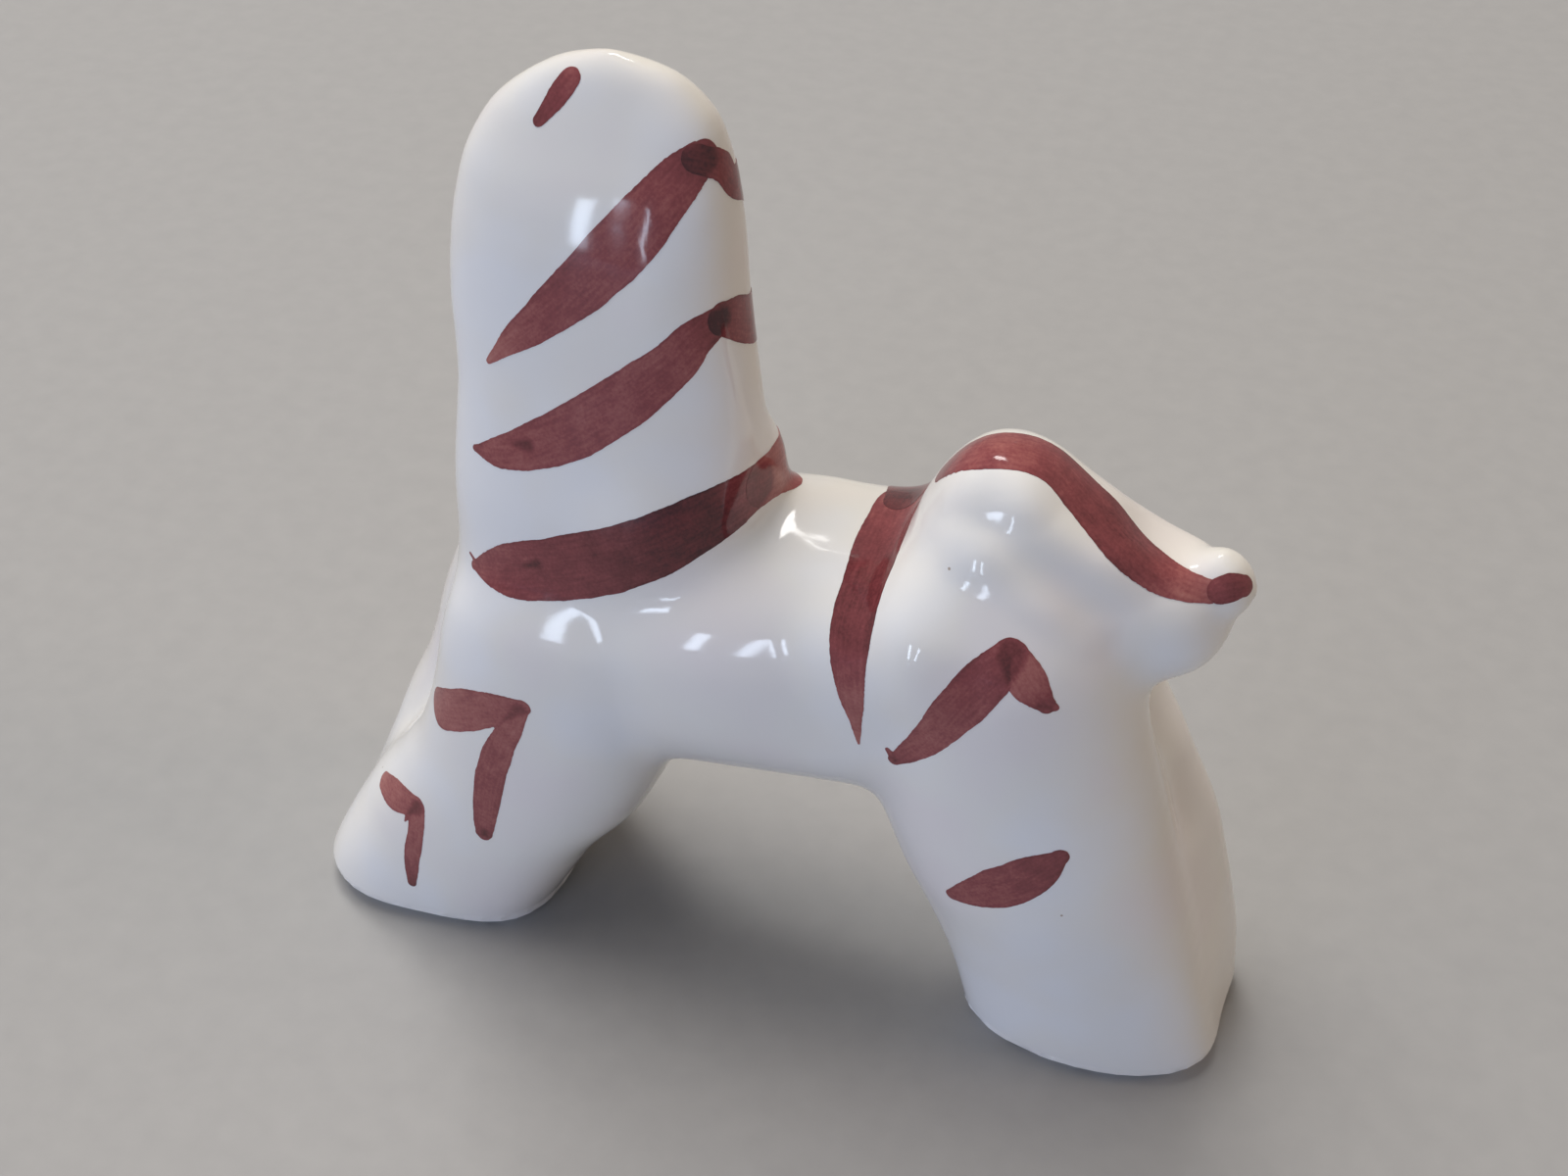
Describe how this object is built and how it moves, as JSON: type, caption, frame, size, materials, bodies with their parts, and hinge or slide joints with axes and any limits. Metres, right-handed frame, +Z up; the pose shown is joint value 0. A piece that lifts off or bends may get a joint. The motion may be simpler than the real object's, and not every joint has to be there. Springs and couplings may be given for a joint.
{
  "type": "animal figurine",
  "caption": "Small standing glazed pottery animal with a tall blade of a tail, a low snouted head, thick legs in fused pairs and brushed iron-red stripes; a shelf ornament.",
  "frame": {"origin": "on the ground under the middle of the figure's length and width", "axes": "+Z up, +X towards the animal's nose, +Y towards its left side"},
  "size_m": [0.0868, 0.0264, 0.0877],
  "materials": {
    "glazed_clay": "glossy cream-white glaze over fired clay",
    "iron_red": "iron-red brush colour under a clear glossy glaze"
  },
  "bodies": {
    "root": {"trunk": "glazed_clay", "rear_right_leg": "glazed_clay", "rear_left_leg": "glazed_clay", "front_right_leg": "glazed_clay", "front_left_leg": "glazed_clay", "tail_blade": "glazed_clay", "head": "glazed_clay", "nose_tip": "glazed_clay", "right_tail_dab_stroke": "iron_red", "right_tail_upper_stroke": "iron_red", "right_tail_middle_stroke": "iron_red", "right_tail_base_stroke": "iron_red", "right_collar_stroke": "iron_red", "right_shoulder_stroke": "iron_red", "right_fore_leg_stroke": "iron_red", "right_thigh_stroke": "iron_red", "right_hock_stroke": "iron_red", "right_brow_stroke": "iron_red", "right_nose_spot_stroke": "iron_red", "left_tail_upper_stroke": "iron_red", "left_tail_middle_stroke": "iron_red", "left_tail_base_stroke": "iron_red", "left_collar_stroke": "iron_red", "left_shoulder_stroke": "iron_red", "left_fore_leg_stroke": "iron_red", "left_thigh_stroke": "iron_red", "left_hock_stroke": "iron_red", "left_brow_stroke": "iron_red", "left_nose_spot_stroke": "iron_red"}
  },
  "joints": []
}
